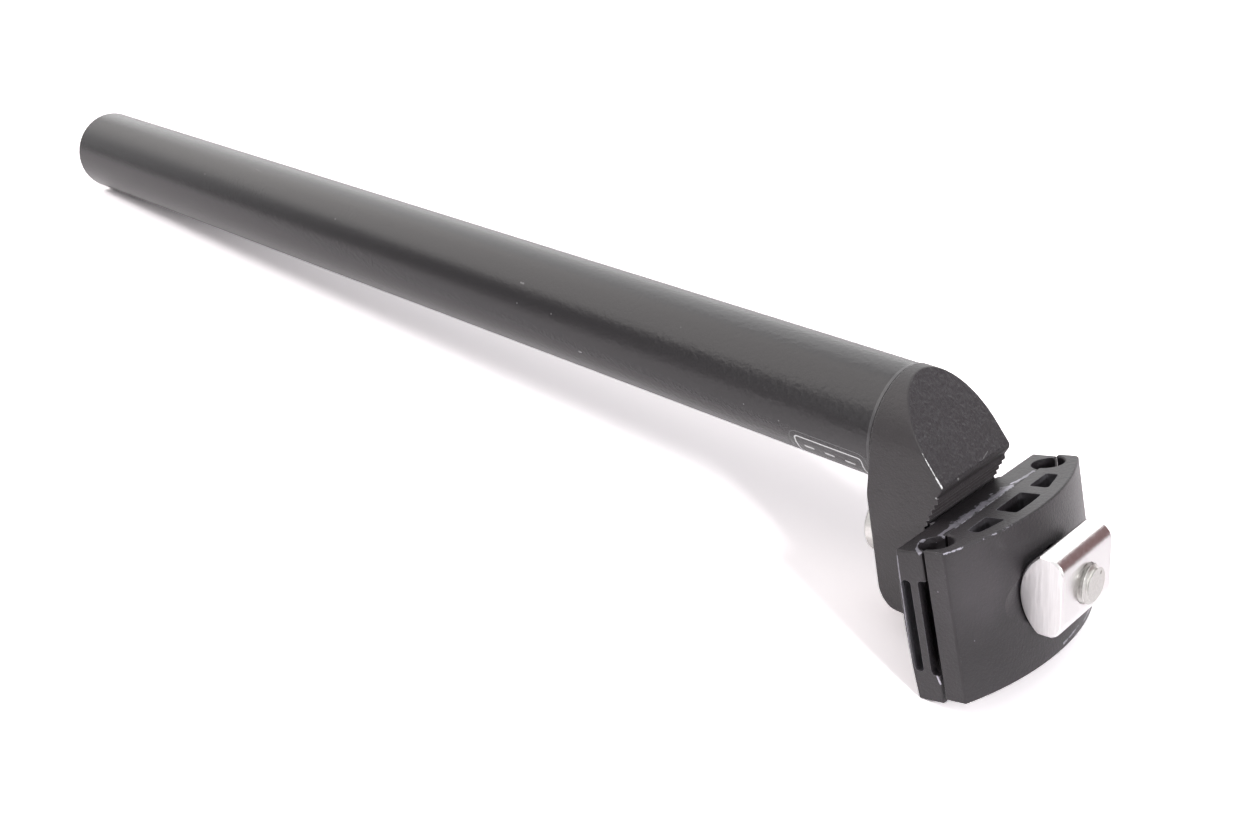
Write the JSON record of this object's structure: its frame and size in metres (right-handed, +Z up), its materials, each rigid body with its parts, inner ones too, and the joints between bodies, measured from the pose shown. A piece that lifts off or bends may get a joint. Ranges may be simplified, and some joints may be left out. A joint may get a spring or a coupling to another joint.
{
  "type": "bicycle seatpost",
  "caption": "Straight black seatpost tube with a set-back head, a serrated tilt cradle, and a saddle-rail clamp pulled together by a bolt from below into a half-round nut.",
  "frame": {"origin": "on the floor under the middle of the whole seatpost, as it comes to rest on its tube end and its clamp", "axes": "+X from the open end of the tube to the saddle clamp, +Y across to the rider's right, +Z up from the floor, on the side of the post that faces the front of the bicycle"},
  "size_m": [0.3702, 0.0524, 0.0537],
  "materials": {
    "tube_black": "satin black anodised, drawn tube",
    "head_black": "matt black anodised, shot-blasted forging",
    "clamp_black": "satin black anodised, worn bright at the edges",
    "nut_bright": "bare, brushed ends and a polished flat",
    "washer_zinc": "zinc plated",
    "bolt_zinc": "zinc plated, dull"
  },
  "bodies": {
    "post": {"post_tube": "tube_black", "clamp_head": "head_black", "clamp_bolt": "bolt_zinc", "bolt_washer": "washer_zinc", "barrel_nut": "nut_bright"},
    "saddle_clamp": {"lower_clamp": "clamp_black", "upper_clamp": "clamp_black"}
  },
  "joints": [
    {"name": "saddle_tilt", "type": "hinge", "parent": "post", "child": "saddle_clamp", "pos_m": [0.18459, 0, 0.02433], "axis": [0, 1, 0], "range_deg": [-6.6, 25.4]}
  ]
}
